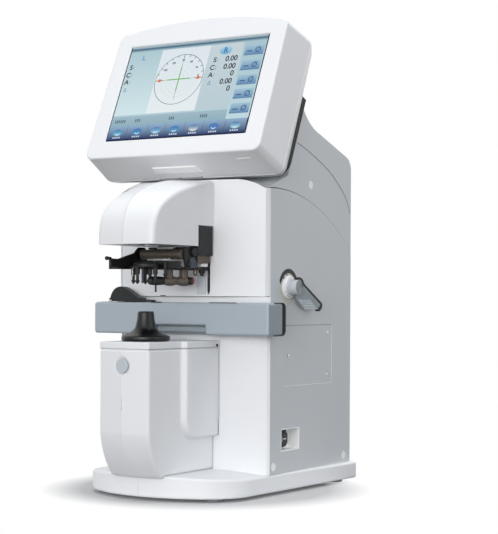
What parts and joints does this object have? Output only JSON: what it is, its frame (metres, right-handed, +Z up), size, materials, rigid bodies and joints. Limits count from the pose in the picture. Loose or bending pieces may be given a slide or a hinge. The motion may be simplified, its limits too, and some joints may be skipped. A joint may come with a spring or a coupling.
{
  "type": "lensmeter",
  "caption": "Table-top automatic lens meter: tilting touch screen, sliding spectacle table worked by a side lever, lens holder, marker and nosepiece on a column and base.",
  "frame": {"origin": "on the table top, under the middle of the whole machine", "axes": "+Z up, -Y towards the user, +X to the user's right (lever side)"},
  "size_m": [0.1956, 0.262, 0.4357],
  "materials": {
    "white_cover": "satin moulded white plastic",
    "side_cover": "satin moulded plastic, slightly greyer white",
    "table_grey": "satin blue-grey plastic",
    "black_rubber": "matt black rubber",
    "black_plastic": "satin black plastic",
    "black_gloss": "polished black plastic",
    "button_grey": "pale grey moulded button",
    "lever_grey": "satin grey plastic",
    "cream_trim": "cream plastic ring",
    "display": "touch panel, lit picture behind clear front",
    "clear_glass": "polished optical glass",
    "steel": "ground steel",
    "dark_metal": "blackened metal",
    "sheet_metal": "plated sheet metal",
    "brass": "bright brass",
    "circuit_board": "green circuit board"
  },
  "bodies": {
    "root": {"base_plate": "white_cover", "button_switch": "circuit_board", "chassis": "sheet_metal", "collimator_lens": "clear_glass", "guide_rods": "steel", "head_cover": "white_cover", "hinge_brackets": "sheet_metal", "hinge_pin": "steel", "hood_cover": "side_cover", "housing_lid": "white_cover", "inlet_pins": "brass", "lamp_module": "dark_metal", "lamp_window": "clear_glass", "left_side_panel": "side_cover", "lever_collar": "white_cover", "lever_escutcheon": "cream_trim", "lower_front_cover": "white_cover", "main_board": "circuit_board", "nose_housing": "white_cover", "nose_window": "clear_glass", "nosepiece": "black_gloss", "objective_lens": "clear_glass", "optics_barrel": "dark_metal", "power_inlet": "black_plastic", "power_supply": "sheet_metal", "rear_cover": "side_cover", "right_side_panel": "side_cover", "rubber_feet": "black_rubber", "screen_gasket": "black_rubber", "sensor_board": "circuit_board", "service_cover": "side_cover", "service_cover_screws": "steel", "side_screw_caps": "white_cover", "switch_case": "black_plastic", "switch_pocket": "white_cover", "upper_front_cover": "white_cover"},
    "table": {"spectacle_table": "table_grey", "table_seals": "black_rubber", "table_carriage": "sheet_metal", "table_rack": "steel"},
    "lever": {"lever_gear": "brass", "lever_shaft": "steel", "lever_arm": "lever_grey"},
    "slider": {"pd_slider": "black_gloss", "pd_slider_foot": "black_plastic"},
    "holder": {"slide_grip": "black_plastic", "holder_frame": "black_plastic", "press_pins": "dark_metal"},
    "marker": {"marker_frame": "black_plastic", "marker_roller": "dark_metal", "marker_pens": "black_plastic"},
    "button": {"read_button": "button_grey"},
    "rocker": {"power_rocker": "black_gloss"},
    "screen": {"screen_bezel": "white_cover", "display_glass": "display", "display_module": "dark_metal", "screen_back_cover": "white_cover", "screen_frame": "sheet_metal", "screen_board": "circuit_board"}
  },
  "joints": [
    {"name": "screen_tilt", "type": "hinge", "parent": "root", "child": "screen", "pos_m": [0, 0.02483, 0.35283], "axis": [-1, 0, 0], "range_deg": [0, 20]},
    {"name": "table_slide", "type": "slide", "parent": "root", "child": "table", "axis": [0, -1, 0], "range_m": [0, 0.035]},
    {"name": "lever_turn", "type": "hinge", "parent": "root", "child": "lever", "pos_m": [0.0824, 0.0092, 0.1869], "axis": [-1, 0, 0], "range_deg": [0, 100.5]},
    {"name": "pd_slide", "type": "slide", "parent": "table", "child": "slider", "axis": [1, 0, 0], "range_m": [0, 0.11]},
    {"name": "holder_drop", "type": "slide", "parent": "root", "child": "holder", "axis": [0, 0, -1], "range_m": [0, 0.014]},
    {"name": "marker_press", "type": "slide", "parent": "holder", "child": "marker", "axis": [0, 0, -1], "range_m": [0, 0.006], "stiffness_N_per_m": 150, "springref_m": -0.003},
    {"name": "read_press", "type": "slide", "parent": "root", "child": "button", "axis": [0, 1, 0], "range_m": [0, 0.002], "stiffness_N_per_m": 400, "springref_m": -0.0005},
    {"name": "power_switch", "type": "hinge", "parent": "root", "child": "rocker", "pos_m": [0.0709, 0.01115, 0.04895], "axis": [0, 0, 1], "range_deg": [0, 8]}
  ],
  "couplings": [
    {"joint": "lever_turn", "follows": "table_slide", "rad_per_m": 50}
  ]
}
